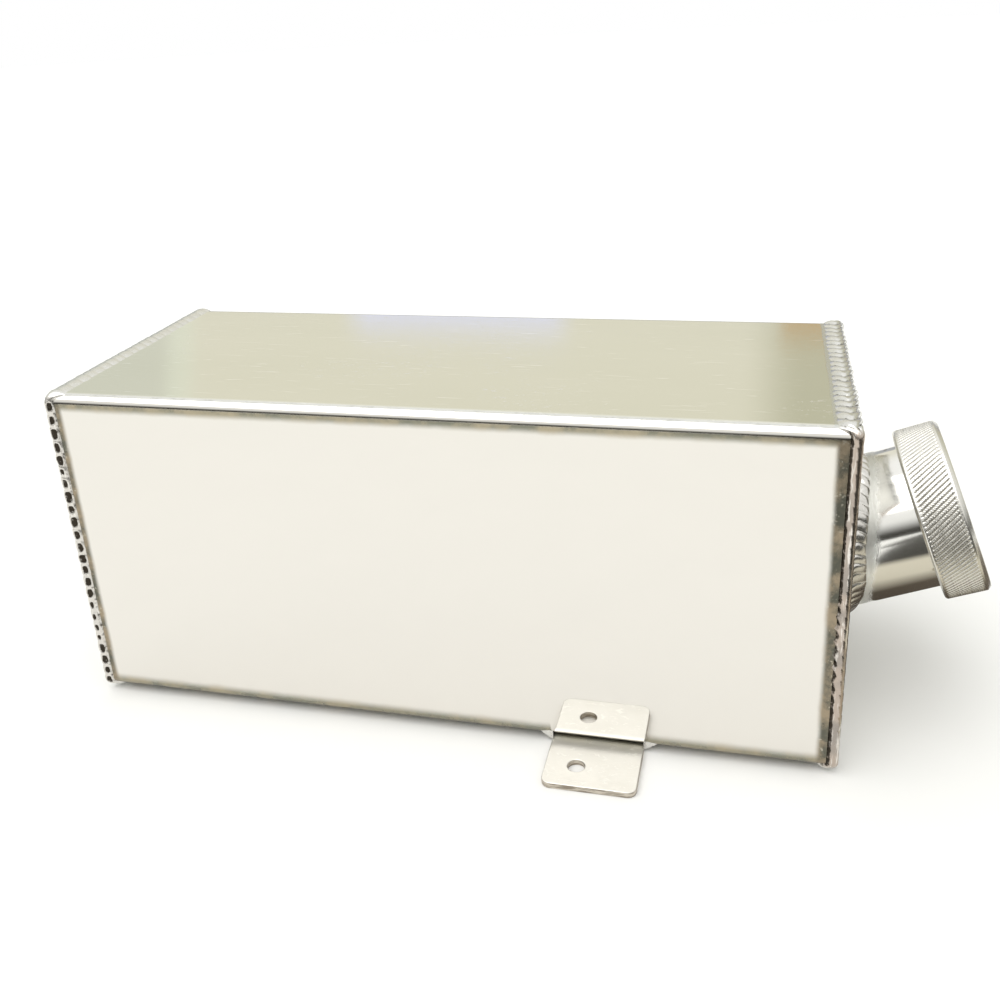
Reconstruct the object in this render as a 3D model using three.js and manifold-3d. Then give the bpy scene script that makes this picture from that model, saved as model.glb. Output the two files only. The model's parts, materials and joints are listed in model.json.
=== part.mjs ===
// Hydraulic reservoir: a fabricated aluminium tank with a tilted screw-cap filler on one end.
// Millimetres, +Z up. X runs along the tank towards the filler end, Y from front to rear.
// The origin is the middle of the whole object's footprint, level with the undersides of its tabs.
import * as THREE from 'three';
import { mergeVertices } from 'three/addons/utils/BufferGeometryUtils.js';
import Module from 'manifold-3d';

const wasm = await Module();
wasm.setup();

// ---- Driving dimensions ----

// Tank, over its sheet faces in depth and height, and over its weld beads in length
const TANK_LENGTH = 305;
const TANK_DEPTH = 122;
const TANK_HEIGHT = 135;
const SHEET = 2.5;
const BEND_RADIUS = 4.5;
const SMALLEST_RADIUS = 1.5;
const PLATE = 3;
const GAP = 0.3;
const CONTACT = 0.1;

// Corner weld beads round both ends
const BEAD_WIDTH = 8.5;
const BEAD_PROUD = 1.5;
const BEAD_OVER_PLATE = 1.35;
const BEAD_LAP = 5;
const PLATE_INSET = 1.2;

// Mounting tabs
const TAB_WIDTH = 35.5;
const TAB_REACH = 25.5;
const TAB_LAP = 15;
const TAB_THICKNESS = 2.5;
const TAB_CORNER = 3.5;
const TAB_START = 46;
const TAB_HOLE_RADIUS = 3.3;
const TAB_HOLE_IN = 11.8;
const TAB_HOLE_OUT = 14.5;
const TAB_WELD_LEG = 3;

// Filler neck: distances along its axis are counted from the end plate's outer face
const NECK_TILT = THREE.MathUtils.degToRad(21);
const NECK_HEIGHT = 65;
const NECK_RADIUS = 28;
const NECK_WALL = 2;
const NECK_END = 33;
const NECK_FILLET = 5;

// Threaded bung in the neck's mouth
const BUNG_BOTTOM = 24;
const BUNG_TOP = 42.6;
const BUNG_THREAD_RADIUS = 27.4;
const BUNG_BORE = 23;
const BUNG_SEAT = 40;
const BUNG_SEAT_RADIUS = 24.5;

// Screw cap
const CAP_RADIUS = 33.25;
const CAP_START = 31.3;
const CAP_END = 48.1;
const CAP_BORE = 29;
const CAP_TOP = 3.3;
const CAP_CHAMFER = 1.6;
const VENT_RADIUS = 1.5;
const GASKET = 2;

// Filler strainer
const STRAINER_RADIUS = 21;
const STRAINER_WALL = 0.8;
const STRAINER_BOTTOM = -25;
const STRAINER_FLANGE = 1;

// Ports on the plain end, and the drain low on the rear wall
const SUCTION = { y: -28, z: 30, bore: 9.5, spigot: 12.5, flange: 16 };
const RETURN = { y: 28, z: 92, bore: 7.6, spigot: 10.5, flange: 13.5 };
const PORT_HEIGHT = 12;
const PORT_FILLET = 3.3;
const DRAIN = { x: -115, z: 19.6, bore: 6.2, spigot: 10, flange: 12, height: 6 };
const DRAIN_SHANK = 5.85;
const DRAIN_SHANK_LENGTH = 10.7;
const DRAIN_HEX = 17;
const DRAIN_HEAD = 6.5;
const WASHER = 1.5;

// Parts inside the tank
const SCREEN_RADIUS = 12.5;
const SCREEN_WALL = 1.5;
const SCREEN_START = 14.3;
const SCREEN_LENGTH = 52;
const PIPE_RADIUS = 9;
const PIPE_BEND = 18;
const PIPE_LOWER_END = 20;
const BAFFLE = 2;
const BAFFLE_END = 60;
const BAFFLE_TOP = 95;
const BAFFLE_NOTCH = 12;
const SEAM_Y = 20;
const SEAM_SLOT = 2.6;
const SEAM_WIDTH = 6;
const SEAM_PROUD = 1.2;

// ---- Dimensions that follow ----

const UNDERSIDE = TAB_THICKNESS + CONTACT;
const TANK_TOP = UNDERSIDE + TANK_HEIGHT;
const TANK_MIDDLE = UNDERSIDE + TANK_HEIGHT / 2;
const FLOOR = UNDERSIDE + SHEET;
const PLATE_OUTER = TANK_LENGTH / 2 - BEAD_OVER_PLATE;
const PLATE_INNER = PLATE_OUTER - PLATE;
const WRAP_END = PLATE_INNER - CONTACT;
const GASKET_TOP = CAP_END - CAP_TOP - CONTACT;

const Y_AXIS = new THREE.Vector3(0, 1, 0);
const NECK_AXIS = new THREE.Vector3(Math.cos(NECK_TILT), 0, Math.sin(NECK_TILT));
const NECK_BASE = new THREE.Vector3(PLATE_OUTER, 0, UNDERSIDE + NECK_HEIGHT);

// ---- Materials ----

function metal(colour, roughness) {
  return new THREE.MeshStandardMaterial({ color: colour, roughness, metalness: 1 });
}

const polished = metal(0xd6d5c8, 0.18);
const brushed = metal(0xcdcbb9, 0.35);
const machined = metal(0xd9d7cf, 0.3);
const weldMetal = metal(0xc9c8be, 0.4);
const steel = metal(0xb4b4b0, 0.35);
const bronze = metal(0xa8793f, 0.6);
const copper = metal(0xb87349, 0.35);
const rubber = new THREE.MeshStandardMaterial({ color: 0x1b1b1b, roughness: 0.8, metalness: 0 });

// ---- Helpers ----

function piece(name, geometry, material) {
  const mesh = new THREE.Mesh(geometry, material);
  mesh.name = name;
  return mesh;
}

function solid(geometry) {
  const bare = geometry.clone();
  bare.deleteAttribute('normal');
  bare.deleteAttribute('uv');
  const merged = mergeVertices(bare, 1e-4);
  const corners = merged.index.array;
  const triangles = [];
  for (let i = 0; i < corners.length; i += 3) {
    const [a, b, c] = corners.slice(i, i + 3);
    if (a !== b && b !== c && c !== a) triangles.push(a, b, c);
  }
  return new wasm.Manifold(new wasm.Mesh({
    numProp: 3,
    vertProperties: new Float32Array(merged.attributes.position.array),
    triVerts: new Uint32Array(triangles),
  }));
}

function geometryOf(body) {
  const mesh = body.getMesh();
  const geometry = new THREE.BufferGeometry();
  geometry.setAttribute('position', new THREE.BufferAttribute(mesh.vertProperties, 3));
  geometry.setIndex(new THREE.BufferAttribute(mesh.triVerts, 1));
  geometry.computeVertexNormals();
  return geometry;
}

function cut(geometry, ...cutters) {
  return geometryOf(cutters.reduce((body, cutter) => body.subtract(solid(cutter)), solid(geometry)));
}

// A rectangle with round corners, centred on a point of its own plane
function roundedRectangle(width, height, radius, centreY = 0) {
  const w = width / 2 - radius;
  const h = height / 2 - radius;
  const shape = new THREE.Shape();
  shape.absarc(w, centreY - h, radius, -Math.PI / 2, 0);
  shape.absarc(w, centreY + h, radius, 0, Math.PI / 2);
  shape.absarc(-w, centreY + h, radius, Math.PI / 2, Math.PI);
  shape.absarc(-w, centreY - h, radius, Math.PI, 1.5 * Math.PI);
  shape.closePath();
  return shape;
}

// A shape drawn in (Y, Z) and swept along X between two ends
function alongX(shape, start, end, bevel = 0) {
  const geometry = new THREE.ExtrudeGeometry(shape, {
    depth: end - start - 2 * bevel,
    curveSegments: 5,
    bevelEnabled: bevel > 0,
    bevelThickness: bevel,
    bevelSize: bevel,
    bevelOffset: -bevel,
    bevelSegments: 2,
  });
  geometry.translate(0, 0, start + bevel);
  return geometry.applyMatrix4(new THREE.Matrix4().makeBasis(
    new THREE.Vector3(0, 1, 0), new THREE.Vector3(0, 0, 1), new THREE.Vector3(1, 0, 0)));
}

function tankSection(offset) {
  return roundedRectangle(TANK_DEPTH + 2 * offset, TANK_HEIGHT + 2 * offset,
    Math.max(BEND_RADIUS + offset, SMALLEST_RADIUS), TANK_MIDDLE);
}

function polygon(points) {
  return new THREE.Shape(points.map(([x, y]) => new THREE.Vector2(x, y)));
}

// A round part: its closed outline is given as [radius, distance along the axis], anticlockwise
function turned(outline, segments = 48) {
  const points = [...outline, outline[0]].map(([r, s]) => new THREE.Vector2(r, s));
  return new THREE.LatheGeometry(points, segments);
}

function turnedSolid(outline, segments = 48) {
  return new THREE.LatheGeometry(outline.map(([r, s]) => new THREE.Vector2(r, s)), segments);
}

function cylinder(radius, start, end, segments = 48) {
  return new THREE.CylinderGeometry(radius, radius, end - start, segments)
    .translate(0, (start + end) / 2, 0);
}

function box(low, high) {
  const size = high.map((value, i) => value - low[i]);
  return new THREE.BoxGeometry(...size).translate(...low.map((value, i) => value + size[i] / 2));
}

// A group whose local Y axis points along a direction, so that turned parts stand on it
function axisGroup(origin, direction) {
  const group = new THREE.Group();
  group.position.copy(origin);
  group.quaternion.setFromUnitVectors(Y_AXIS, direction);
  group.updateMatrix();
  return group;
}

// ---- Tank ----

function drainOrigin() {
  return new THREE.Vector3(DRAIN.x, TANK_DEPTH / 2, DRAIN.z);
}

function bodyWrap() {
  const section = tankSection(0);
  section.holes.push(tankSection(-SHEET));
  const slot = box([-WRAP_END - 1, SEAM_Y - SEAM_SLOT / 2, 0], [WRAP_END + 1, SEAM_Y + SEAM_SLOT / 2, FLOOR + 1]);
  const drainHole = cylinder(DRAIN.spigot + GAP, -2 * SHEET, SHEET, 24).translate(...drainOrigin());
  return piece('body_wrap', cut(alongX(section, -WRAP_END, WRAP_END), slot, drainHole), brushed);
}

// The bead that closes the folded sheet: a root in the slot and a low cap below it
function seamWeld() {
  const root = SEAM_SLOT / 2 - GAP;
  const cap = SEAM_WIDTH / 2;
  const face = UNDERSIDE - CONTACT;
  const section = polygon([
    [SEAM_Y - cap, face], [SEAM_Y - cap / 2, face - SEAM_PROUD], [SEAM_Y + cap / 2, face - SEAM_PROUD],
    [SEAM_Y + cap, face], [SEAM_Y + root, face], [SEAM_Y + root, FLOOR],
    [SEAM_Y - root, FLOOR], [SEAM_Y - root, face],
  ]);
  const end = TANK_LENGTH / 2 - BEAD_WIDTH - GAP;
  return piece('seam_weld', alongX(section, -end, end), weldMetal);
}

function endPlate(name, side, holes) {
  const inner = side > 0 ? PLATE_INNER : -PLATE_OUTER;
  const blank = alongX(tankSection(-PLATE_INSET), inner, inner + PLATE);
  return piece(name, cut(blank, ...holes), brushed);
}

function neckCutter() {
  return cylinder(NECK_RADIUS + GAP, -40, 40, 64).applyMatrix4(axisGroup(NECK_BASE, NECK_AXIS).matrix);
}

function portCutter(port) {
  return cylinder(port.spigot + GAP, -2 * PLATE, PLATE, 32).applyMatrix4(portGroup(port).matrix);
}

// A crowned ring over the outside corner between the folded sheet and an end plate
function endWeld(name, side) {
  const outer = TANK_LENGTH / 2;
  const ring = cut(
    alongX(tankSection(BEAD_PROUD), outer - BEAD_WIDTH, outer, 1),
    alongX(tankSection(GAP), outer - BEAD_WIDTH - 1, WRAP_END + GAP),
    alongX(tankSection(GAP - PLATE_INSET), WRAP_END, PLATE_OUTER + GAP),
    alongX(tankSection(-BEAD_LAP), PLATE_OUTER, outer + 1),
  );
  if (side < 0) ring.rotateZ(Math.PI);
  return piece(name, ring, weldMetal);
}

function bafflePlate() {
  const start = -PLATE_INNER + GAP;
  const bottom = FLOOR + CONTACT;
  const outline = polygon([
    [start + BAFFLE_NOTCH, bottom], [BAFFLE_END - BAFFLE_NOTCH, bottom],
    [BAFFLE_END, bottom + BAFFLE_NOTCH], [BAFFLE_END, BAFFLE_TOP],
    [start, BAFFLE_TOP], [start, bottom + BAFFLE_NOTCH],
  ]);
  const plate = new THREE.ExtrudeGeometry(outline, { depth: BAFFLE, bevelEnabled: false });
  plate.rotateX(Math.PI / 2).translate(0, BAFFLE / 2, 0);
  return piece('baffle_plate', plate, brushed);
}

// Short fillets that hold the baffle to the floor, on alternate sides, and one to the end plate
function baffleWelds() {
  const leg = 4;
  const length = 25;
  const near = BAFFLE / 2 + GAP;
  const floorFillet = [[near, FLOOR + GAP], [near + leg, FLOOR + GAP], [near, FLOOR + GAP + leg]];
  const stitches = [-115, -35, 35].map((x, i) => {
    const fillet = alongX(polygon(floorFillet), -length / 2, length / 2);
    if (i % 2 === 0) fillet.rotateZ(Math.PI);
    const stitch = piece(`baffle_weld_${i + 1}`, fillet, weldMetal);
    stitch.position.x = x;
    return stitch;
  });
  const wall = -PLATE_INNER + GAP;
  const upright = new THREE.ExtrudeGeometry(
    polygon([[wall, near], [wall + leg, near], [wall, near + leg]]),
    { depth: length, bevelEnabled: false });
  upright.translate(0, 0, TANK_MIDDLE - length);
  return [...stitches, piece('baffle_weld_end', upright, weldMetal)];
}

// ---- Mounting tabs: one under the front edge, and the same one turned half round at the rear ----

function mountTab(name, turn) {
  const front = -TANK_DEPTH / 2 - TAB_REACH;
  const back = -TANK_DEPTH / 2 + TAB_LAP;
  const left = TAB_START;
  const right = TAB_START + TAB_WIDTH;
  const shape = new THREE.Shape();
  shape.moveTo(right, back);
  shape.lineTo(left, back);
  shape.absarc(left + TAB_CORNER, front + TAB_CORNER, TAB_CORNER, Math.PI, 1.5 * Math.PI);
  shape.absarc(right - TAB_CORNER, front + TAB_CORNER, TAB_CORNER, 1.5 * Math.PI, 2 * Math.PI);
  shape.closePath();
  const hole = new THREE.Path();
  hole.absarc(left + TAB_HOLE_IN, -TANK_DEPTH / 2 - TAB_HOLE_OUT, TAB_HOLE_RADIUS, 0, 2 * Math.PI);
  shape.holes.push(hole);
  const tab = piece(name,
    new THREE.ExtrudeGeometry(shape, { depth: TAB_THICKNESS, curveSegments: 6, bevelEnabled: false }),
    brushed);
  tab.rotation.z = turn;
  return tab;
}

// A U-shaped fillet round the lapped end of a tab, against the tank's underside
function tabWeld(name, turn) {
  const front = -TANK_DEPTH / 2 + BEND_RADIUS / 2;
  const back = -TANK_DEPTH / 2 + TAB_LAP + GAP;
  const left = TAB_START - GAP;
  const right = TAB_START + TAB_WIDTH + GAP;
  const shape = polygon([
    [left - TAB_WELD_LEG, front], [left, front], [left, back], [right, back], [right, front],
    [right + TAB_WELD_LEG, front], [right + TAB_WELD_LEG, back + TAB_WELD_LEG],
    [left - TAB_WELD_LEG, back + TAB_WELD_LEG],
  ]);
  const depth = TAB_THICKNESS - 2 * GAP;
  const geometry = new THREE.ExtrudeGeometry(shape, { depth, bevelEnabled: false }).translate(0, 0, GAP);
  const weld = piece(name, geometry, weldMetal);
  weld.rotation.z = turn;
  return weld;
}

// ---- Filler: parts are turned about the neck's axis, in its own group ----

function fillerNeck(group) {
  const tube = turned([
    [NECK_RADIUS - NECK_WALL, -30], [NECK_RADIUS, -30],
    [NECK_RADIUS, NECK_END], [NECK_RADIUS - NECK_WALL, NECK_END],
  ], 64);
  const inside = PLATE_INNER - SHEET;
  const mitre = box([inside - 80, -60, 0], [inside, 60, TANK_TOP]).applyMatrix4(group.matrix.clone().invert());
  return piece('filler_neck', cut(tube, mitre), polished);
}

// The fillet follows the slanted tube's oval outline on the end plate
function neckWeld(group) {
  const lean = Math.tan(NECK_TILT);
  const stretch = 1 / Math.cos(NECK_TILT);
  const cone = new THREE.CylinderGeometry(NECK_RADIUS + 1, NECK_RADIUS + NECK_FILLET, NECK_FILLET, 64);
  cone.translate(0, NECK_FILLET / 2 + CONTACT, 0);
  cone.applyMatrix4(new THREE.Matrix4().set(
    0, 1, 0, NECK_BASE.x,
    -1, 0, 0, NECK_BASE.y,
    0, lean, stretch, NECK_BASE.z,
    0, 0, 0, 1));
  cone.applyMatrix4(group.matrix.clone().invert());
  return piece('neck_weld', cut(cone, cylinder(NECK_RADIUS + GAP, -40, 40, 64)), weldMetal);
}

function fillerBung() {
  const spigot = NECK_RADIUS - NECK_WALL - GAP;
  const shoulder = NECK_END + GAP;
  return piece('filler_bung', turned([
    [BUNG_BORE, BUNG_BOTTOM], [spigot, BUNG_BOTTOM], [spigot, shoulder], [NECK_RADIUS, shoulder],
    [NECK_RADIUS, shoulder + 1.5], [BUNG_THREAD_RADIUS, shoulder + 1.5], [BUNG_THREAD_RADIUS, BUNG_TOP],
    [BUNG_SEAT_RADIUS, BUNG_TOP], [BUNG_SEAT_RADIUS, BUNG_SEAT], [BUNG_BORE, BUNG_SEAT],
  ]), machined);
}

function strainerBasket() {
  const seat = BUNG_SEAT + CONTACT;
  const inner = STRAINER_RADIUS - STRAINER_WALL;
  return piece('strainer_basket', turnedSolid([
    [0, STRAINER_BOTTOM], [STRAINER_RADIUS, STRAINER_BOTTOM], [STRAINER_RADIUS, seat],
    [BUNG_SEAT_RADIUS - GAP, seat], [BUNG_SEAT_RADIUS - GAP, seat + STRAINER_FLANGE],
    [inner, seat + STRAINER_FLANGE], [inner, STRAINER_BOTTOM + STRAINER_WALL],
    [0, STRAINER_BOTTOM + STRAINER_WALL],
  ], 36), steel);
}

function strainerRing() {
  const outer = BUNG_SEAT_RADIUS - CONTACT;
  const bottom = BUNG_SEAT + STRAINER_FLANGE + 2 * CONTACT;
  return piece('strainer_ring', turned([
    [outer - 1, bottom], [outer, bottom], [outer, bottom + 1], [outer - 1, bottom + 1],
  ], 36), steel);
}

function fillerCap() {
  const inside = CAP_END - CAP_TOP;
  return piece('filler_cap', turned([
    [VENT_RADIUS, inside], [CAP_BORE, inside], [CAP_BORE, CAP_START],
    [CAP_RADIUS - CAP_CHAMFER, CAP_START], [CAP_RADIUS, CAP_START + CAP_CHAMFER],
    [CAP_RADIUS, CAP_END - CAP_CHAMFER], [CAP_RADIUS - CAP_CHAMFER, CAP_END], [VENT_RADIUS, CAP_END],
  ]), machined);
}

function capGasket() {
  const bottom = GASKET_TOP - GASKET;
  return piece('cap_gasket', turned([
    [23.5, bottom], [28.5, bottom], [28.5, GASKET_TOP], [23.5, GASKET_TOP],
  ]), rubber);
}

// A porous disc behind the cap's vent hole, held in a shallow cup
function ventParts() {
  const discRadius = 8;
  const disc = 2.5;
  const cup = 1;
  const bottom = GASKET_TOP - disc;
  const filter = piece('vent_filter', cylinder(discRadius, bottom, GASKET_TOP, 32), bronze);
  const retainer = piece('vent_retainer', turned([
    [discRadius - 3, bottom - CONTACT - cup], [discRadius + 2, bottom - CONTACT - cup],
    [discRadius + 2, GASKET_TOP], [discRadius + GAP, GASKET_TOP],
    [discRadius + GAP, bottom - CONTACT], [discRadius - 3, bottom - CONTACT],
  ], 32), steel);
  return [filter, retainer];
}

function filler() {
  const group = axisGroup(NECK_BASE, NECK_AXIS);
  const cap = new THREE.Group();
  cap.add(fillerCap(), capGasket(), ...ventParts());
  group.add(fillerNeck(group), neckWeld(group), fillerBung(), strainerBasket(), strainerRing(), cap);
  return group;
}

// ---- Ports: a flanged bung through the wall, and the fillet round its flange ----

function portGroup(port) {
  return axisGroup(new THREE.Vector3(-PLATE_OUTER, port.y, port.z), new THREE.Vector3(-1, 0, 0));
}

function bung(name, port, wall, height) {
  return piece(name, turned([
    [port.bore, -wall - 2], [port.spigot, -wall - 2], [port.spigot, GAP], [port.flange, GAP],
    [port.flange, height - 1], [port.flange - 1, height], [port.bore, height],
  ], 32), machined);
}

function bungWeld(name, port) {
  const inner = port.flange + GAP;
  return piece(name, turned([
    [inner, CONTACT], [inner + PORT_FILLET, CONTACT], [inner, CONTACT + PORT_FILLET],
  ], 32), weldMetal);
}

// A screen that screws into the suction port from inside, closed by a cap at its far end
function suctionStrainer() {
  const bore = 7.5;
  const nut = 14;
  const shoulder = -PLATE - 2 - GAP;
  const screenEnd = -SCREEN_START - SCREEN_LENGTH;
  return [
    piece('suction_nut', turned([
      [bore, GAP - SCREEN_START], [nut, GAP - SCREEN_START], [nut, shoulder],
      [SUCTION.bore - GAP, shoulder], [SUCTION.bore - GAP, 3], [bore, 3],
    ], 24), machined),
    piece('suction_screen', turned([
      [SCREEN_RADIUS - SCREEN_WALL, screenEnd], [SCREEN_RADIUS, screenEnd],
      [SCREEN_RADIUS, -SCREEN_START], [SCREEN_RADIUS - SCREEN_WALL, -SCREEN_START],
    ], 24), steel),
    piece('suction_end_cap', cylinder(nut, screenEnd - GAP - 4, screenEnd - GAP, 24), steel),
  ];
}

// The return pipe leaves its port level, turns down, and ends in a slanted mouth near the floor
function returnPipe() {
  const start = -PLATE_INNER + 2 + GAP;
  const turn = start + PIPE_BEND / 2;
  const drop = turn + PIPE_BEND;
  const at = (x, z) => new THREE.Vector3(x, RETURN.y, z);
  const route = new THREE.CurvePath();
  route.add(new THREE.LineCurve3(at(start, RETURN.z), at(turn, RETURN.z)));
  route.add(new THREE.QuadraticBezierCurve3(
    at(turn, RETURN.z), at(drop, RETURN.z), at(drop, RETURN.z - PIPE_BEND)));
  route.add(new THREE.LineCurve3(at(drop, RETURN.z - PIPE_BEND), at(drop, PIPE_LOWER_END)));
  const section = new THREE.Shape().absarc(0, 0, PIPE_RADIUS, 0, 2 * Math.PI);
  section.holes.push(new THREE.Path().absarc(0, 0, RETURN.bore, 0, 2 * Math.PI));
  const pipe = new THREE.ExtrudeGeometry(section, { steps: 20, curveSegments: 10, extrudePath: route });
  const mouth = box([-30, -30, -40], [30, 30, 0]).rotateY(Math.PI / 4)
    .translate(drop, RETURN.y, PIPE_LOWER_END + PIPE_RADIUS);
  return piece('return_pipe', cut(pipe, mouth), brushed);
}

function ports() {
  const suction = portGroup(SUCTION);
  suction.add(bung('suction_port', SUCTION, PLATE, PORT_HEIGHT), bungWeld('suction_port_weld', SUCTION));
  suction.add(...suctionStrainer());
  const back = portGroup(RETURN);
  back.add(bung('return_port', RETURN, PLATE, PORT_HEIGHT), bungWeld('return_port_weld', RETURN));
  return [suction, back, returnPipe()];
}

// The drain's plug and washer stand on its bung; the plug's head is a hexagon
function drain() {
  const group = axisGroup(drainOrigin(), Y_AXIS);
  const washerBottom = DRAIN.height + CONTACT;
  const headBottom = washerBottom + WASHER + CONTACT;
  const head = cylinder(DRAIN_HEX / Math.sqrt(3), headBottom, headBottom + DRAIN_HEAD, 6);
  const shank = cylinder(DRAIN_SHANK, headBottom - DRAIN_SHANK_LENGTH, headBottom + 1, 24);
  group.add(
    bung('drain_port', DRAIN, SHEET, DRAIN.height),
    bungWeld('drain_port_weld', DRAIN),
    piece('drain_washer', turned([
      [DRAIN.bore, washerBottom], [DRAIN.bore + 2.8, washerBottom],
      [DRAIN.bore + 2.8, washerBottom + WASHER], [DRAIN.bore, washerBottom + WASHER],
    ], 24), copper),
    piece('drain_plug', geometryOf(solid(head).add(solid(shank))), steel),
  );
  return group;
}

// ---- Assembly ----

const reservoir = new THREE.Group();
reservoir.name = 'hydraulic_reservoir';
reservoir.add(
  bodyWrap(),
  seamWeld(),
  endPlate('end_plate_filler', 1, [neckCutter()]),
  endPlate('end_plate_ports', -1, [portCutter(SUCTION), portCutter(RETURN)]),
  endWeld('end_weld_filler', 1),
  endWeld('end_weld_ports', -1),
  bafflePlate(),
  ...baffleWelds(),
  mountTab('mount_tab_front', 0),
  mountTab('mount_tab_rear', Math.PI),
  tabWeld('tab_weld_front', 0),
  tabWeld('tab_weld_rear', Math.PI),
  filler(),
  ...ports(),
  drain(),
);

// The cap's far rim and the port faces are the object's ends, and the origin lies midway
const farEnd = NECK_BASE.x + CAP_END * Math.cos(NECK_TILT) + (CAP_RADIUS - CAP_CHAMFER) * Math.sin(NECK_TILT);
const farRim = NECK_BASE.x + (CAP_END - CAP_CHAMFER) * Math.cos(NECK_TILT) + CAP_RADIUS * Math.sin(NECK_TILT);
const nearEnd = -PLATE_OUTER - PORT_HEIGHT;
reservoir.position.x = -(Math.max(farEnd, farRim) + nearEnd) / 2;

export default reservoir;
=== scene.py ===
"""The looks of a welded aluminium hydraulic reservoir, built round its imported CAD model."""

import json
import math
from types import SimpleNamespace

import bmesh
import bpy
import numpy as np
from mathutils import Matrix, Vector


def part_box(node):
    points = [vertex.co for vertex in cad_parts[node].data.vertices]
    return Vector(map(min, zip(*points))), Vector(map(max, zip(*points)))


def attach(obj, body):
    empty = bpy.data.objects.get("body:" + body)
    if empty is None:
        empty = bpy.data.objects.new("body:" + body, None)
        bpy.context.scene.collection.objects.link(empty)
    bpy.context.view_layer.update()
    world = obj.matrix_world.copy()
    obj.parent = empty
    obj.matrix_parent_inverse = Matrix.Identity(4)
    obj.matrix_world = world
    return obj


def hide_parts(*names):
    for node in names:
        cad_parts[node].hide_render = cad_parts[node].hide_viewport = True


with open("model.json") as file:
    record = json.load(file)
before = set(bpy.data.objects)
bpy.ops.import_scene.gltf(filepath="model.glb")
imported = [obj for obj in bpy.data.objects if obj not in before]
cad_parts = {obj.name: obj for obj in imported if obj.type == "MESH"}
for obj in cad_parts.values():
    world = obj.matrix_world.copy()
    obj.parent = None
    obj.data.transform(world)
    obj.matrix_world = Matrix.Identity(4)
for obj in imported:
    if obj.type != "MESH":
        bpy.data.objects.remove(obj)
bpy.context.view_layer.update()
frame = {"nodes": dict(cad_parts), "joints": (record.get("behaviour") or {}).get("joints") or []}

MM = 0.001
TAU = 2 * math.pi

# ---- Places, from the frame ----

joints = {joint["name"]: joint for joint in frame["joints"]}
WRAP_LOW, WRAP_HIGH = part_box("body_wrap")
BEAD_LOW, BEAD_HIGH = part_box("end_weld_ports")[0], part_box("end_weld_filler")[1]
MIDDLE = (WRAP_LOW + WRAP_HIGH) / 2
HALF_DEPTH = (WRAP_HIGH.y - WRAP_LOW.y) / 2
HALF_HEIGHT = (WRAP_HIGH.z - WRAP_LOW.z) / 2
PLATE_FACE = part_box("end_plate_filler")[1].x
PORT_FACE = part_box("end_plate_ports")[0].x
NECK_BASE = Vector(joints["cap_turn"]["pos_m"])
NECK_AXIS = Vector(joints["cap_turn"]["axis"]).normalized()
NECK_TILT = math.asin(NECK_AXIS.z)
DRAIN_BASE = Vector(joints["drain_turn"]["pos_m"])
TAB_LOW, TAB_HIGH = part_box("mount_tab_front")
UNDERSIDE = WRAP_LOW.z

# ---- Sizes ----

SHEET = 2.5 * MM
BEND = 4.5 * MM
BEAD_WIDTH = 8.5 * MM
BEAD_PROUD = 1.5 * MM
NECK_RADIUS = 28 * MM
NECK_WALL = 2 * MM
NECK_END = 33 * MM
CAP_RADIUS = 33.25 * MM
CAP_START = 31.3 * MM
CAP_END = 48.1 * MM
CAP_PITCH = 4 * MM
BUNG_TOP = 42.6 * MM
BUNG_SEAT = 40 * MM
TAB_CORNER = 3.5 * MM
TAB_HOLE = SimpleNamespace(inwards=11.8 * MM, outwards=14.5 * MM, radius=3.3 * MM)
TAB_WELD_LEG = 3.4 * MM
# The radius at which a solid turned part closes on its axis
AXIS = 0.02 * MM


# ---- Mesh helpers ----

def link(name, data):
    """Puts a new object in the scene."""
    thing = bpy.data.objects.new(name, data)
    bpy.context.scene.collection.objects.link(thing)
    return thing


def new_object(name, vertices, faces, material, sharp, marks=None):
    """A smooth-shaded mesh whose faces point out, with edges sharper than an angle left sharp.
    marks are named values, one for each vertex, that its material reads."""
    mesh = bpy.data.meshes.new(name)
    mesh.from_pydata([tuple(v) for v in vertices], [], faces)
    for mark, values in (marks or {}).items():
        layer = mesh.attributes.new(mark, "FLOAT", "POINT")
        layer.data.foreach_set("value", np.asarray(values, dtype=np.float32).reshape(-1))
    work = bmesh.new()
    work.from_mesh(mesh)
    bmesh.ops.remove_doubles(work, verts=work.verts, dist=1e-7)
    bmesh.ops.recalc_face_normals(work, faces=work.faces)
    work.to_mesh(mesh)
    work.free()
    mesh.shade_smooth()
    mesh.set_sharp_from_angle(angle=math.radians(sharp))
    mesh.materials.append(material)
    return link(name, mesh)


def evaluated_mesh(thing):
    bpy.context.view_layer.update()
    graph = bpy.context.evaluated_depsgraph_get()
    return bpy.data.meshes.new_from_object(thing.evaluated_get(graph))


def grid_faces(rows, columns, closed):
    """Faces between rows of points. Each row is a ring, and a closed grid joins its last row to its first."""
    faces = []
    for i in range(rows if closed else rows - 1):
        for j in range(columns):
            k, m = (i + 1) % rows, (j + 1) % columns
            faces.append((i * columns + j, i * columns + m, k * columns + m, k * columns + j))
    return faces


def swept(name, points, closed, material, marks=None):
    """A closed ring, or a rod with flat ends, from an array of (sections, points round each, xyz)."""
    rows, columns = points.shape[:2]
    faces = grid_faces(rows, columns, closed)
    if not closed:
        faces.append(tuple(range(columns)))
        faces.append(tuple(range((rows - 1) * columns, rows * columns)))
    return new_object(name, points.reshape(-1, 3), faces, material, 60, marks)


def axis_matrix(origin, direction):
    """Local Z runs along a direction from an origin, and local X stays level."""
    z = direction.normalized()
    x = Vector((0, 1, 0)) if abs(z.y) < 0.9 else Vector((1, 0, 0))
    y = z.cross(x).normalized()
    return Matrix.Translation(origin) @ Matrix((x, y, z)).transposed().to_4x4()


def place(local, matrix):
    """Moves an array of local points into the shared frame."""
    turn = np.array(matrix.to_3x3())
    return local @ turn.T + np.array(matrix.translation)


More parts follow.
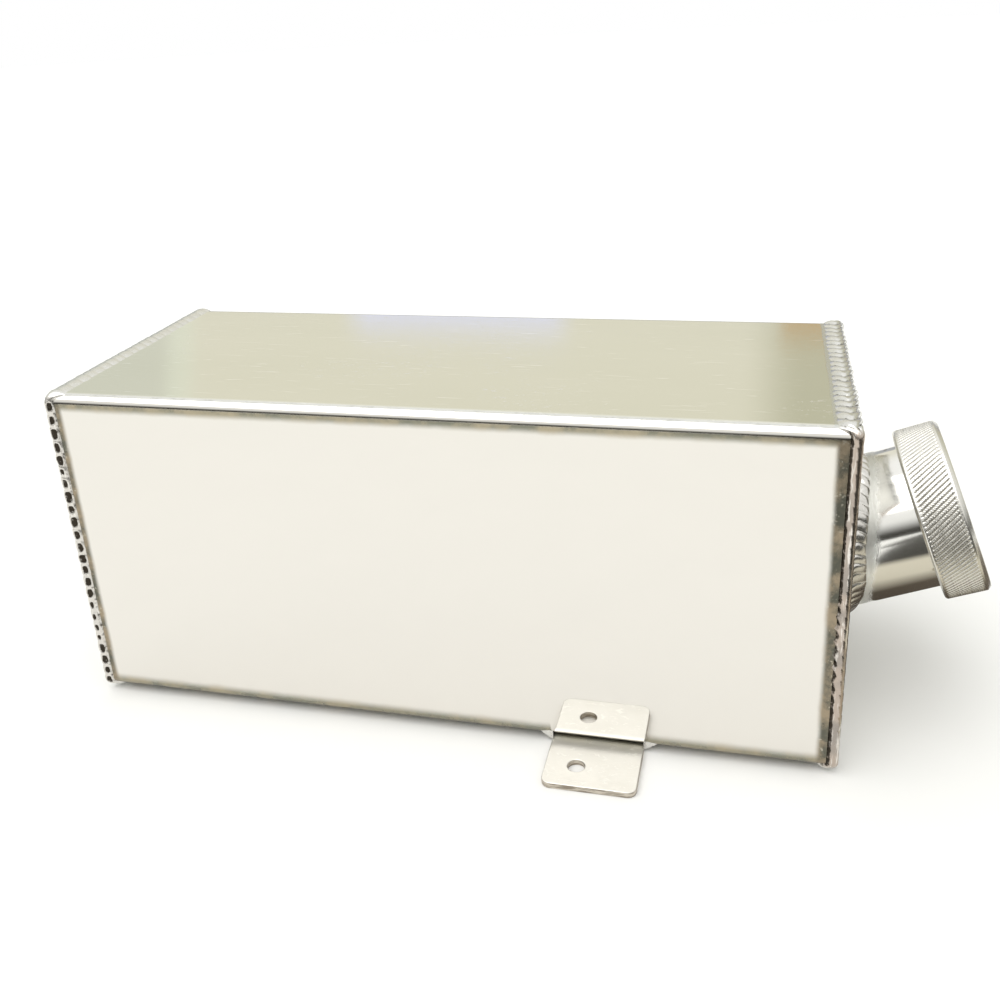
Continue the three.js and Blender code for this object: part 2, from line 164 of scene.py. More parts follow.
def soften(outline, radius, steps=3):
    """Rounds every corner of a closed outline by a small radius."""
    points = [np.array(p, dtype=float) for p in outline]
    result = []
    for i, corner in enumerate(points):
        before, after = points[i - 1] - corner, points[(i + 1) % len(points)] - corner
        reach = min(radius, np.linalg.norm(before) / 2.01, np.linalg.norm(after) / 2.01)
        start = corner + before / np.linalg.norm(before) * reach
        end = corner + after / np.linalg.norm(after) * reach
        for k in range(steps + 1):
            t = k / steps
            result.append((1 - t) ** 2 * start + 2 * t * (1 - t) * corner + t * t * end)
    return result


def polar(radii, angles, along):
    """Points round local Z, at given radii and distances along it."""
    return np.stack([radii * np.cos(angles), radii * np.sin(angles), np.zeros(len(angles)) + along], 1)


def even_angles(count):
    return np.arange(count) / count * TAU


class Thread:
    """A helical groove cut in a wall of one radius."""

    def __init__(self, start, end, pitch, depth, wall):
        self.start, self.end = start, end
        self.pitch, self.depth, self.wall = pitch, depth, wall

    def radii(self, r, s, angles):
        """The radii round a row of the outline: cut on the thread's own wall, plain elsewhere."""
        if abs(r - self.wall) > 1e-6 or not self.start <= s <= self.end:
            return np.full(len(angles), r)
        fade = np.clip(min(s - self.start, self.end - s) / (0.5 * self.pitch), 0, 1)
        return r + self.depth * fade * wave(s / self.pitch - angles / TAU)


def wave(phase):
    """A rounded thread form between 0 and 1."""
    f = phase - np.floor(phase)
    return np.clip(1.6 * np.abs(2 * f - 1) - 0.3, 0, 1)


def with_fine_rows(rows, wall, pitch):
    """Adds closely spaced rows, ten to a pitch, to the stretches of an outline that lie on one wall."""
    result = []
    for i, here in enumerate(rows):
        result.append(here)
        after = rows[(i + 1) % len(rows)]
        if abs(here[0] - wall) < 1e-6 and abs(after[0] - wall) < 1e-6:
            count = max(1, int(abs(after[1] - here[1]) / (pitch / 10)))
            result += [here + (after - here) * k / count for k in range(1, count)]
    return result


def ring_outline(inner, outer, low, high):
    return [(inner, low), (outer, low), (outer, high), (inner, high)]


def turned(name, outline, matrix, material, segments=96, radius=0.3 * MM, thread=None):
    """A turned part from a closed outline of (radius, distance) in metres, with its corners softened."""
    rows = soften(outline, radius) if radius else outline
    if thread:
        rows = with_fine_rows(rows, thread.wall, thread.pitch)
    angles = even_angles(segments)
    points = [polar(thread.radii(r, s, angles) if thread else r, angles, s) for r, s in rows]
    return lathed(name, np.array(points), matrix, material, 30)


def lathed(name, points, matrix, material, sharp, marks=None):
    """A part made of rings of local points, each marked with its radius and distance along."""
    rows, segments = points.shape[:2]
    local = points.reshape(-1, 3)
    turning = {"radius": np.hypot(local[:, 0], local[:, 1]), "along": local[:, 2]}
    faces = grid_faces(rows, segments, True)
    return new_object(name, place(local, matrix), faces, material, sharp, {**turning, **(marks or {})})


def plate(name, outlines, thickness, bevel, material):
    """A flat plate from outlines in its own plane (the first is its edge, the rest are holes)."""
    curve = bpy.data.curves.new(name, "CURVE")
    curve.dimensions = "2D"
    curve.fill_mode = "BOTH"
    curve.extrude = thickness / 2 - bevel
    curve.bevel_depth = bevel
    curve.bevel_resolution = 2
    curve.offset = -bevel
    for outline in outlines:
        spline = curve.splines.new("POLY")
        spline.points.add(len(outline) - 1)
        for point, (x, y) in zip(spline.points, outline):
            point.co = (x, y, 0, 1)
        spline.use_cyclic_u = True
    holder = link(name + "_curve", curve)
    mesh = evaluated_mesh(holder)
    bpy.data.objects.remove(holder)
    bpy.data.curves.remove(curve)
    vertices = [v.co.copy() for v in mesh.vertices]
    faces = [tuple(f.vertices) for f in mesh.polygons]
    bpy.data.meshes.remove(mesh)
    return new_object(name, vertices, faces, material, sharp=9)


def move_mesh(thing, matrix):
    thing.data.transform(matrix)
    thing.data.update()


def arc(centre_x, centre_y, radius, start, end, steps=12):
    angles = np.radians(np.linspace(start, end, steps + 1))
    return [(centre_x + radius * math.cos(a), centre_y + radius * math.sin(a)) for a in angles]


def wobble(u, seed, scale):
    """Smooth noise between about -1 and 1 along a length, repeatable from its seed."""
    random = np.random.default_rng(seed)
    total = np.zeros(len(u))
    for k in range(1, 6):
        total += np.sin(u / scale * k * random.uniform(0.7, 1.3) + random.uniform(0, TAU)) / k
    return total / 1.8


def finished(thing, body, node):
    """Puts a piece on its body, and hides the CAD node that it stands for."""
    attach(thing, body)
    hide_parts(node)
    return thing


# ---- Material helpers ----

class Value:
    """A node's output, which adds, multiplies and so on as a number does."""

    def __init__(self, nodes, socket):
        self.nodes = nodes
        self.socket = socket

    def __add__(self, other):
        return self.nodes.math("ADD", self, other)

    def __sub__(self, other):
        return self.nodes.math("SUBTRACT", self, other)

    def __rsub__(self, other):
        return self.nodes.math("SUBTRACT", other, self)

    def __mul__(self, other):
        return self.nodes.math("MULTIPLY", self, other)

    def __truediv__(self, other):
        return self.nodes.math("DIVIDE", self, other)

    __radd__ = __add__
    __rmul__ = __mul__


class Nodes:
    """A node tree written as expressions."""

    def __init__(self, tree):
        self.tree = tree

    def node(self, kind, inputs, output=0, **settings):
        made = self.tree.nodes.new(kind)
        for key, value in settings.items():
            setattr(made, key, value)
        for key, value in inputs.items():
            self.feed(made.inputs[key], value)
        return Value(self, made.outputs[output])

    def feed(self, socket, value):
        if isinstance(value, Value):
            self.tree.links.new(value.socket, socket)
        else:
            socket.default_value = value

    def split(self, vector):
        made = self.tree.nodes.new("ShaderNodeSeparateXYZ")
        self.feed(made.inputs[0], vector)
        return [Value(self, output) for output in made.outputs]

    def math(self, operation, a, b=0.0):
        return self.node("ShaderNodeMath", {0: a, 1: b}, operation=operation)

    def most(self, a, b):
        return self.math("MAXIMUM", a, b)

    def step(self, value, low, high, start=0.0, end=1.0):
        """Goes smoothly from start to end as a value goes from low to high."""
        return self.node("ShaderNodeMapRange", {0: value, 1: low, 2: high, 3: start, 4: end},
                         interpolation_type="SMOOTHSTEP")

    def fade(self, value, low, high):
        """Goes smoothly from 1 to 0 as a value goes from low to high."""
        return self.step(value, low, high, 1.0, 0.0)

    def mix(self, factor, a, b):
        made = self.tree.nodes.new("ShaderNodeMix")
        made.data_type = "RGBA"
        for index, value in ((0, factor), (6, a), (7, b)):
            self.feed(made.inputs[index], (*value, 1) if isinstance(value, tuple) else value)
        return Value(self, made.outputs[2])


class Shader(Nodes):
    """A material's nodes, round its Principled shader."""

    def __init__(self, name):
        self.material = bpy.data.materials.new(name)
        self.material.use_nodes = True
        super().__init__(self.material.node_tree)
        self.surface = self.tree.nodes["Principled BSDF"].inputs
        self.here = self.node("ShaderNodeTexCoord", {}, "Object")

    def normal(self):
        return self.split(self.node("ShaderNodeNewGeometry", {}, "Normal"))

    def attribute(self, name):
        return self.node("ShaderNodeAttribute", {}, "Fac", attribute_name=name)

    def noise(self, scale, detail=3.0, roughness=0.5, distortion=0.0):
        """Noise in the object's own place, whose scale is one number or three for X, Y and Z."""
        spot = self.here
        if isinstance(scale, tuple):
            spot = self.node("ShaderNodeMapping", {"Vector": spot, "Scale": scale})
            scale = 1.0
        return self.node("ShaderNodeTexNoise", {
            "Vector": spot, "Scale": scale, "Detail": detail,
            "Roughness": roughness, "Distortion": distortion})

    def cells(self, scale, output):
        return self.node("ShaderNodeTexVoronoi", {"Vector": self.here, "Scale": scale}, output)

    def rings(self, pitch):
        """Fine machining lines round a turned part's axis."""
        path = self.attribute("radius") + self.attribute("along")
        return self.node("ShaderNodeTexNoise", {"W": path / pitch, "Scale": 1.0, "Detail": 3.0},
                         noise_dimensions="1D")

    def bump(self, height, distance, strength, normal=None):
        inputs = {"Height": height, "Distance": distance, "Strength": strength}
        if normal:
            inputs["Normal"] = normal
        return self.node("ShaderNodeBump", inputs)

    def finish(self, colour, rough, normal=None, metallic=1.0):
        """Sets the surface, and gives the material."""
        self.feed(self.surface["Base Color"], colour)
        self.feed(self.surface["Roughness"], rough)
        self.feed(self.surface["Metallic"], metallic)
        if normal:
            self.feed(self.surface["Normal"], normal)
        return self.material


# ---- Materials ----

def behind_tab(s, x, y):
    """A distance that keeps the bottom margin away from the stretch behind each tab."""
    middle, half = (TAB_LOW.x + TAB_HIGH.x) / 2, (TAB_HIGH.x - TAB_LOW.x) / 2
    turned_x = (x - MIDDLE.x) * s.math("SIGN", MIDDLE.y - y)
    off_tab = s.math("ABSOLUTE", turned_x - (middle - MIDDLE.x))
    return s.step(off_tab, half, half + 1.0 * MM, 4 * MM, 0.0)


def dull_and_painted_dark_margins(s, from_weld, ragged):
    """(along the welds, along the bends): where no polish reached, from 0 to 1. There the sheet is rougher
    and painted dark, as a reflection of dark surroundings.
    """
    x, y, z = s.split(s.here)

    def margin(distance, width, blur):
        return s.fade(distance + ragged, width - blur, width + blur)

    from_right = from_weld + s.step(z, WRAP_LOW.z, WRAP_HIGH.z, 2.2 * MM, 1.7 * MM)
    from_left = x - (BEAD_LOW.x + BEAD_WIDTH)
    from_top = WRAP_HIGH.z - BEND - z
    from_bottom = z - (UNDERSIDE + BEND) + behind_tab(s, x, y)
    sides = s.most(margin(from_right, 1.4 * MM, 1.2 * MM), margin(from_left, -1.8 * MM, 1.2 * MM))
    edges = s.most(margin(from_top, 1.5 * MM, 1.5 * MM), margin(from_bottom, 0.8 * MM, 2.2 * MM))
    return sides, edges


def tank_sheet():
    """Polished sheet with a brushed, scratched top, flecked bends, and dull margins painted dark as a
    reflection of dark surroundings.
    """
    s = Shader("tank_sheet")
    rising = s.normal()[2]
    facing_up = s.step(rising, 0.55, 0.97)
    upright = s.fade(rising, 0.1, 0.35)
    bent = s.step(rising, 0.2, 0.35) * s.fade(rising, 0.93, 0.99)
    worn = s.noise(95, 5.0, 0.62)
    speckle = s.noise(600, 3.0, 0.6)
    ragged = (worn - 0.5) * (1.6 * MM)
    from_weld = BEAD_HIGH.x - BEAD_WIDTH - s.split(s.here)[0]
    sides, edges = dull_and_painted_dark_margins(s, from_weld, ragged)

    # Painted reflection: the margins take dark olive, grey and brown with lighter specks, standing for dark
    # surroundings mirrored in the sheet.
    dark_side = s.mix(s.step(worn, 0.38, 0.62), (0.34, 0.28, 0.2), (0.13, 0.13, 0.105))
    dark_side = s.mix(s.step(speckle, 0.6, 0.72, 0.0, 0.6), dark_side, (0.62, 0.58, 0.48))
    dark_edge = s.mix(s.step(worn, 0.35, 0.65), (0.42, 0.37, 0.27), (0.25, 0.25, 0.2))
    side = s.mix(edges * upright, (0.79, 0.765, 0.72), dark_edge)
    side = s.mix(sides * upright, side, dark_side)
    border = s.most(sides, edges) * upright
    rough_side = 0.035 + border * (worn * 0.45)

    grain = s.noise((60, 2400, 2400), 4.0, 0.6)
    cloud = s.noise((9, 22, 22))
    scratch = s.step(s.noise((70, 900, 500), 2.0, 0.5, 0.6), 0.66, 0.71)
    scuff = s.step(s.noise((260, 520, 260), 3.0, 0.6, 1.5), 0.6, 0.68) * s.step(s.noise(24, 2.0), 0.52, 0.62)
    flecked = bent * s.step(s.noise((250, 900, 900), 3.0, 0.6), 0.45, 0.7)
    etched = s.fade(from_weld + ragged, 0.7 * MM, 1.5 * MM) * facing_up
    top = s.mix(cloud, (0.85, 0.84, 0.76), (0.79, 0.785, 0.69))
    top = s.mix(bent * 0.8, top, (0.8, 0.8, 0.78))
    top = s.mix(flecked * 0.7, top, (0.6, 0.6, 0.56))
    top = s.mix(s.most(scratch, scuff) * 0.6, top, (0.96, 0.955, 0.92))
    top = s.mix(etched * 0.7, top, (0.7, 0.72, 0.7))
    rough_top = 0.03 + grain * 0.06 + cloud * 0.03 + s.most(etched, scuff) * 0.2

    rough = s.node("ShaderNodeMix", {0: facing_up, 2: rough_side, 3: rough_top}, data_type="FLOAT")
    wavy = s.bump(s.noise((6, 9, 9), 1.0), 0.25 * MM, 0.6)
    texture = s.mix(facing_up, speckle, grain)
    normal = s.bump(texture, 0.05 * MM, facing_up * 0.14 + border * 0.35, wavy)
    return s.finish(s.mix(facing_up, side, top), rough, normal)


def satin_plate():
    s = Shader("satin_plate")
    grain = s.noise((900, 900, 60), 4.0, 0.6)
    colour = s.mix(s.noise(38, 4.0, 0.6), (0.82, 0.81, 0.76), (0.68, 0.67, 0.62))
    return s.finish(colour, 0.2 + grain * 0.2, s.bump(grain, 0.02 * MM, 0.4))


def weld_metal():
    """Bright rippled bead: frosted crowns, with creases, a toe line and pits painted dark as shade. Upright
    runs are painted a darker pinkish brown with lighter streaks, partly a tint and partly a painted
    reflection.
    """
    s = Shader("weld_metal")
    crease = s.attribute("crease")
    frost = s.noise(900, 5.0, 0.65)
    clean = s.mix(frost, (0.9, 0.895, 0.87), (0.66, 0.655, 0.62))
    # The darker pinkish brown on upright runs is partly a weld tint and partly a painted reflection of dark
    # surroundings.
    straw_tint_and_reflection = s.mix(s.step(s.noise(70, 2.0), 0.45, 0.7), (0.5, 0.425, 0.365), (0.36, 0.325, 0.295))
    streak = s.noise((900, 900, 90), 3.0, 0.6)
    straw_tint_and_reflection = s.mix(s.step(streak, 0.53, 0.66), straw_tint_and_reflection, (0.8, 0.76, 0.71))
    metal = s.mix(s.attribute("shade"), clean, straw_tint_and_reflection)
    ragged = (s.noise(650, 3.0, 0.6) - 0.5) * 2.4
    # Painted shade: creases, the toe line and pits are darkened to near black.
    soot = s.step(crease + ragged * s.step(crease, 0.02, 0.3), 0.15, 0.85)
    fine = s.bump(s.noise(1500, 4.0, 0.6), 0.06 * MM, 0.5)
    lumpy = s.bump(s.noise(420), 0.14 * MM, 0.6, fine)
    return s.finish(s.mix(soot, metal, (0.05, 0.042, 0.032)), 0.12 + frost * 0.2 + crease * 0.3, lumpy)


def satin_weld():
    """A plain weld out of sight inside the tank."""
    s = Shader("satin_weld")
    lumps = s.noise(300, 4.0, 0.6)
    colour = s.mix(lumps, (0.84, 0.83, 0.8), (0.55, 0.54, 0.5))
    return s.finish(colour, 0.3 + lumps * 0.2, s.bump(lumps, 0.3 * MM, 0.6))


def polished_tube():
    """Polished along its length, and scratched matt beside the weld."""
    s = Shader("polished_tube")
    from_plate = s.split(s.here)[0] - PLATE_FACE
    drawn = s.noise((35, 500, 35), 4.0, 0.6)
    brushed = s.noise((1400, 300, 300), 4.0, 0.65)
    haze = s.fade(from_plate + s.noise(320) * (3 * MM), 11.5 * MM, 15 * MM)
    nick = s.step(s.noise(150, 2.0), 0.7, 0.74)
    colour = s.mix(haze, (0.9, 0.89, 0.86), s.mix(brushed, (0.93, 0.93, 0.9), (0.66, 0.66, 0.62)))
    colour = s.mix(nick * 0.6, colour, (0.35, 0.31, 0.26))
    rough = haze * (0.12 + brushed * 0.3) + 0.07 + drawn * 0.08
    scored = s.bump(brushed, 0.25 * MM, haze * 0.6)
    return s.finish(colour, rough, s.bump(drawn, 0.03 * MM, 0.35, scored))


def machined_metal():
    s = Shader("machined_metal")
    rings = s.rings(0.25 * MM)
    smear = s.noise(90, 4.0, 0.6)
    colour = s.mix(smear, (0.86, 0.855, 0.83), (0.76, 0.755, 0.72))
    return s.finish(colour, 0.2 + rings * 0.1 + smear * 0.1, s.bump(rings, 0.03 * MM, 0.5))


def knurled_metal():
    """The cap: satin turned faces, with the knurl's grooves painted dark as shade."""
    s = Shader("knurled_metal")
    groove = s.attribute("groove")
    rings = s.rings(0.3 * MM)
    metal = s.mix(s.noise(110, 4.0, 0.6), (0.88, 0.865, 0.82), (0.76, 0.745, 0.7))
    # Painted shade: the knurl's grooves are darkened to near black.
    colour = s.mix(s.step(groove, 0.35, 1.0, 0.0, 0.85), metal, (0.16, 0.14, 0.12))
    return s.finish(colour, 0.22 + rings * 0.08 + groove * 0.2, s.bump(rings, 0.03 * MM, 0.4))


def tab_metal():
    """Satin sheared sheet: a fine brushed tooth, a few scuffs, and side faces and hole wall painted dark
    brown and tan as shade.
    """
    s = Shader("tab_metal")
    flat = s.step(s.math("ABSOLUTE", s.normal()[2]), 0.3, 0.6)
    tooth = s.noise((500, 1600, 500), 4.0, 0.6)
    edge_blotch = s.noise((160, 160, 1500), 3.0, 0.6)
    scuff = s.step(s.noise((220, 420, 60), 4.0, 0.65, 1.0), 0.58, 0.66)
    face = s.mix(s.noise(60, 4.0, 0.6), (0.77, 0.765, 0.74), (0.62, 0.615, 0.58))
    face = s.mix(scuff * 0.5, face, (0.95, 0.95, 0.92))
    # Painted shade: the side faces and the hole's wall take dark brown and tan blotches.
    edge = s.mix(s.step(edge_blotch, 0.42, 0.6), (0.3, 0.26, 0.21), (0.62, 0.57, 0.49))
    rough = 0.22 + tooth * 0.2 + scuff * 0.15
    return s.finish(s.mix(flat, edge, face), rough, s.bump(tooth, 0.06 * MM, 0.5))


def zinc_steel():
    s = Shader("zinc_steel")
    spangle = s.split(s.cells(900, "Color"))[0]
    cloud = s.noise(120)
    colour = s.mix(cloud, (0.62, 0.62, 0.6), (0.5, 0.5, 0.5))
    return s.finish(colour, 0.24 + spangle * 0.12, s.bump(cloud, 0.05 * MM, 0.3))


def sealing_rubber():
    s = Shader("sealing_rubber")
    grain = s.noise(1400, 4.0)
    colour = s.mix(grain, (0.018, 0.018, 0.019), (0.045, 0.044, 0.043))
    return s.finish(colour, 0.55 + grain * 0.25, s.bump(grain, 0.05 * MM, 0.5), metallic=0.0)


def sintered_bronze():
    s = Shader("sintered_bronze")
    beads = s.cells(2600, "Distance")
    colour = s.mix(beads, (0.62, 0.43, 0.22), (0.18, 0.11, 0.05))
    return s.finish(colour, 0.4 + beads * 0.3, s.bump(beads, 0.15 * MM, 0.8))


def copper():
    s = Shader("copper")
    stain = s.noise(160, 4.0, 0.6)
    colour = s.mix(stain, (0.8, 0.42, 0.28), (0.5, 0.26, 0.17))
    return s.finish(colour, 0.22 + stain * 0.25, s.bump(stain, 0.04 * MM, 0.3))


def studio_floor():
    s = Shader("studio_floor")
    s.surface["Specular IOR Level"].default_value = 0.1
    return s.finish(s.mix(s.noise(25), (0.93, 0.93, 0.92), (0.91, 0.91, 0.9)), 0.9, metallic=0.0)


look = SimpleNamespace(
    sheet=tank_sheet(),
    plate=satin_plate(),
    weld=weld_metal(),
    tube=polished_tube(),
    machined=machined_metal(),
    cap=knurled_metal(),
    seam=satin_weld(),
    tab=tab_metal(),
    steel=zinc_steel(),
    rubber=sealing_rubber(),
    bronze=sintered_bronze(),
    copper=copper(),
)


# ---- The tank's sheet ----

def rounded_outline(half_width, half_height, radius, steps):
    """An anticlockwise rounded rectangle as (y, z) about its own centre."""
    w, h = half_width - radius, half_height - radius
    return np.array([
        *arc(w, -h, radius, -90, 0, steps), *arc(w, h, radius, 0, 90, steps),
        *arc(-w, h, radius, 90, 180, steps), *arc(-w, -h, radius, 180, 270, steps)])


def guarded(outline):
    """Adds a point close to each end of the long sides, so that they shade as flat."""
    result = []
    for i, here in enumerate(outline):
        side = outline[(i + 1) % len(outline)] - here
        length = np.linalg.norm(side)
        result.append(here)
        if length > 10 * MM:
            result += [here + side / length * 0.3 * MM, here + side * (1 - 0.3 * MM / length)]
    return np.array(result)


def tank_wrap():
    """The folded sheet: flat walls and smooth bends, open at both ends."""
    outer = guarded(rounded_outline(HALF_DEPTH, HALF_HEIGHT, BEND, 16))
    inner = guarded(rounded_outline(HALF_DEPTH - SHEET, HALF_HEIGHT - SHEET, BEND - SHEET, 16))
    sections = [(outer, WRAP_LOW.x), (outer, WRAP_HIGH.x), (inner, WRAP_HIGH.x), (inner, WRAP_LOW.x)]
    points = np.array([[(x, MIDDLE.y + y, MIDDLE.z + z) for y, z in outline] for outline, x in sections])
    wrap = swept("tank_wrap", points, True, look.sheet)
    hole = ring_outline(AXIS, DRAIN.spigot + 0.1 * MM, -6 * MM, 2 * MM)
    cut_away(wrap, turned("drain_cutter", hole, DRAIN_AXIS, look.sheet, 48, 0))
    return finished(wrap, "tank", "body_wrap")


def cut_away(thing, cutter):
    """Cuts one mesh out of another and removes the cutter."""
    modifier = thing.modifiers.new("cut", "BOOLEAN")
    modifier.object = cutter
    modifier.solver = "EXACT"
    mesh = evaluated_mesh(thing)
    thing.modifiers.clear()
    thing.data = mesh
    thing.data.set_sharp_from_angle(angle=math.radians(40))
    bpy.data.objects.remove(cutter)


# ---- Weld beads ----

class Ripples:
    """The crescents of a bead laid by hand: uneven in length and height, closed on themselves or open."""

    CREASE = 0.15

    def __init__(self, length, pitch, seed):
        random = np.random.default_rng(seed)
        self.length = length
        self.count = max(2, round(length / pitch))
        steps = random.uniform(0.82, 1.18, self.count)
        self.edges = np.concatenate([[0], np.cumsum(steps)]) * length / steps.sum()
        self.size = random.uniform(0.7, 1.25, self.count)
        self.skew = random.uniform(-0.12, 0.12, self.count)

    def at(self, u):
        """(phase in the ripple from 0 to 1, its size, its skew) at distances along the bead."""
        u = np.mod(u, self.length)
        i = np.clip(np.searchsorted(self.edges, u, side="right") - 1, 0, self.count - 1)
        phase = (u - self.edges[i]) / (self.edges[i + 1] - self.edges[i])
        return np.clip(phase, 0, 1), self.size[i], self.skew[i]

    def surface(self, u, w, lag):
        """(height, crease, point), each from 0 to 1, at distances along and places across (-1 to 1).
        The outer half of a crescent leans a little more than its inner half."""
        lean = 1 + 0.25 * np.clip(w, 0, 1)
        phase, size, skew = self.at(u - lag * (np.sqrt(w * w + 0.008) - 0.09) * lean)
        dome = 1 - np.abs(2 * np.power(phase, 0.8 + skew) - 1) ** 2.2
        crease = smooth(1 - np.minimum(phase, 1 - phase) / self.CREASE)
        point = 1 - np.abs(2 * phase - 1)
        return dome * size, crease, point

    def pit(self, u, w, shift):
        """A hollow in the middle of each ripple, from 0 to 1, that the bead also paints dark as shade."""
        phase, size, _ = self.at(u + 0.5 * MM * shift)
        along = np.abs(phase - 0.5) / (0.37 * size)
        across = np.abs(w + 0.1 * shift) / (0.36 * size)
        return smooth(1.8 * (1 - along ** 3 - across ** 3))


def tank_loop(count):
    """Evenly spaced points (y, z) round the tank's section, their outward normals and the loop's length."""
    w, h = HALF_DEPTH - BEND, HALF_HEIGHT - BEND
    corner = BEND * math.pi / 2
    lengths = np.array([2 * h, corner, 2 * w, corner] * 2)
    ends = np.cumsum(lengths)
    u = np.arange(count) / count * ends[-1]
    part = np.searchsorted(ends, u, side="right")
    quarter = part // 2
    to_go = ends[part] - u
    bent = part % 2 == 1
    angle = (quarter + np.where(bent, 1 - to_go / lengths[part], 0)) * math.pi / 2
    normals = np.column_stack([np.cos(angle), np.sin(angle)])
    tangents = np.column_stack([-np.sin(angle), np.cos(angle)])
    centres = np.array([(w, h), (-w, h), (-w, -h), (w, -h)])[quarter]
    spots = centres + BEND * normals - tangents * np.where(bent, 0, to_go)[:, None]
    return spots, normals, u, ends[-1]


def bezier(t, *points):
    t = t[:, None]
    a, b, c, d = (np.array(p, dtype=float) for p in points)
    return (1 - t) ** 3 * a + 3 * t * (1 - t) ** 2 * b + 3 * t * t * (1 - t) * c + t ** 3 * d


def bead_profiles(t):
    """The bead's section as (along the tank, out from it): on level runs, and narrower on upright ones."""
    behind = (7.0 * MM, -4.2 * MM)
    level = bezier(t, (0, -0.1 * MM), (5.0 * MM, 2.3 * MM), (10.2 * MM, 0.9 * MM), behind)
    upright = bezier(t, (4.2 * MM, -0.1 * MM), (6.2 * MM, 2.0 * MM), (10.4 * MM, 1.2 * MM), behind)
    return level, upright


def end_bead(name, side, seed, node, style):
    """The bead over the outside corner at one end: crescents that meet in a herringbone ridge.
    On the upright runs it is narrower, and its toe ends in points like fish scales."""
    count = 1500
    spots, normals, u, length = tank_loop(count)
    ripples = Ripples(length, style.pitch, seed)
    t = np.linspace(0, 1, 29)
    level, upright = bead_profiles(t)
    level_out, upright_out = across(level), across(upright)
    w = 2 * t - 1
    fall = 1 - np.abs(w) ** 4.0
    corner = np.abs(normals[:, 0] * normals[:, 1]) * 2
    rise = smooth((np.abs(normals[:, 0]) - 0.45) / 0.5)
    tall = blend(style.level_height, style.upright_height, rise)
    points = np.zeros((count, len(t) + 2, 3))
    crease = np.zeros((count, len(t) + 2))
    toe = wobble(u, seed + 1, 14 * MM)
    lump = wobble(u, seed + 2, 30 * MM)
    patchy = np.clip(0.45 + 0.8 * wobble(u, seed + 3, 22 * MM), 0, 1)
    for j in range(len(t)):
        crown = blend(level[j], upright[j], rise[:, None])
        facing = blend(level_out[j], upright_out[j], rise[:, None])
        from_ridge = w[j] + style.ridge * (1 - rise)
        height, dark, point = ripples.surface(u, from_ridge, style.lag * (1 - 0.6 * rise))
        pit = ripples.pit(u, w[j] - style.pit_at, toe)
        lift = fall[j] * (tall * (height - 0.55) + 0.1 * MM * lump + 0.2 * MM * corner)
        lift -= rise * style.pits * pit * 0.5 * MM
        scallop = blend(0.45 * height - 0.3, style.teeth * patchy * (1.2 * point - 0.5), rise)
        toe_only = max(0.0, -w[j]) ** 2
        along = crown[:, 0] + facing[:, 0] * lift - toe_only * MM * (scallop + 0.3 * toe)
        out = crown[:, 1] + facing[:, 1] * lift
        along = np.clip(along, -0.6 * MM, BEAD_WIDTH)
        out = np.clip(out, -5 * MM, BEAD_PROUD)
        points[:, j] = ring_point(side, along, out, spots, normals)
        # Painted shade: a dark line along the toe where the bead meets the sheet, and the pits painted dark.
        crack = smooth((-0.66 - w[j] + 0.08 * lump) / 0.16) * (1 - 0.75 * patchy * point)
        soot = np.maximum(style.crack * crack, style.pits * pit)
        crease[:, j] = blend(style.level_soot * dark * (0.45 + 0.55 * fall[j]), soot, rise)
    hidden_side = ((7.0 * MM, -4.6 * MM), (3.5 * MM, -0.8 * MM))
    for k, (along, out) in enumerate(hidden_side, len(t)):
        points[:, k] = ring_point(side, along, out, spots, normals)
    # shade marks the upright runs, which take the darker pinkish brown: partly tint, partly painted
    # reflection.
    marks = {"crease": crease, "shade": np.repeat(rise * style.shade, len(t) + 2)}
    return finished(swept(name, points, True, look.weld, marks), "tank", node)


def across(profile):
    """Unit normals to a profile, on its outer side."""
    slope = np.gradient(profile, axis=0)
    facing = np.stack([-slope[:, 1], slope[:, 0]], 1)
    return facing / np.linalg.norm(facing, axis=1)[:, None]


def blend(start, end, amount):
    return start + (end - start) * amount


def smooth(t):
    t = np.clip(t, 0, 1)
    return t * t * (3 - 2 * t)


def ring_point(side, along, out, spots, normals):
    """Points round one end of the tank, from how far past the bead's toe and out from the walls they lie."""
    x = np.zeros(len(spots)) + MIDDLE.x + side * (BEAD_HIGH.x - MIDDLE.x - BEAD_WIDTH + along)
    y = MIDDLE.y + spots[:, 0] + normals[:, 0] * out
    z = MIDDLE.z + spots[:, 1] + normals[:, 1] * out
    return np.stack([x, y, z], 1)


def fillet_bead(name, feet, tops, roots, pitch, seed, height, closed, shade, node, lag=2.5 * MM, soot=0.6):
    """A rippled fillet between two lines: its feet on one surface, its tops on another, over a root line."""
    crest = (feet + tops) / 2
    steps = np.linalg.norm(np.diff(crest, axis=0, append=crest[:1]), axis=1)
    u = np.concatenate([[0], np.cumsum(steps)[:-1]])
    ripples = Ripples(steps.sum() if closed else u[-1] + 1e-6, pitch, seed)
    shares = np.linspace(0, 1, 15)
    out = crest - roots
    out /= np.linalg.norm(out, axis=1)[:, None]
    points = np.zeros((len(u), len(shares) + 1, 3))
    crease = np.zeros((len(u), len(shares) + 1))
    for j, t in enumerate(shares):
        w = 2 * t - 1
        rise, dark, _ = ripples.surface(u, np.full(len(u), w), lag)
        fall = 1 - w ** 4
        lift = fall * (height * rise + 0.2 * height)
        base = feet * (1 - t) + tops * t
        spread = (feet - tops) / np.linalg.norm(feet - tops, axis=1)[:, None] * -w ** 3
        points[:, j] = base + out * lift[:, None] + spread * 0.3 * MM * rise[:, None]
        # Painted shade: the creases between ripples are darkened.
        crease[:, j] = soot * dark
    points[:, -1] = roots
    marks = {"crease": crease, "shade": np.full(crease.size, shade)}
    return finished(swept(name, points, closed, look.weld, marks), "tank", node)


# ---- Mounting tabs and their welds ----

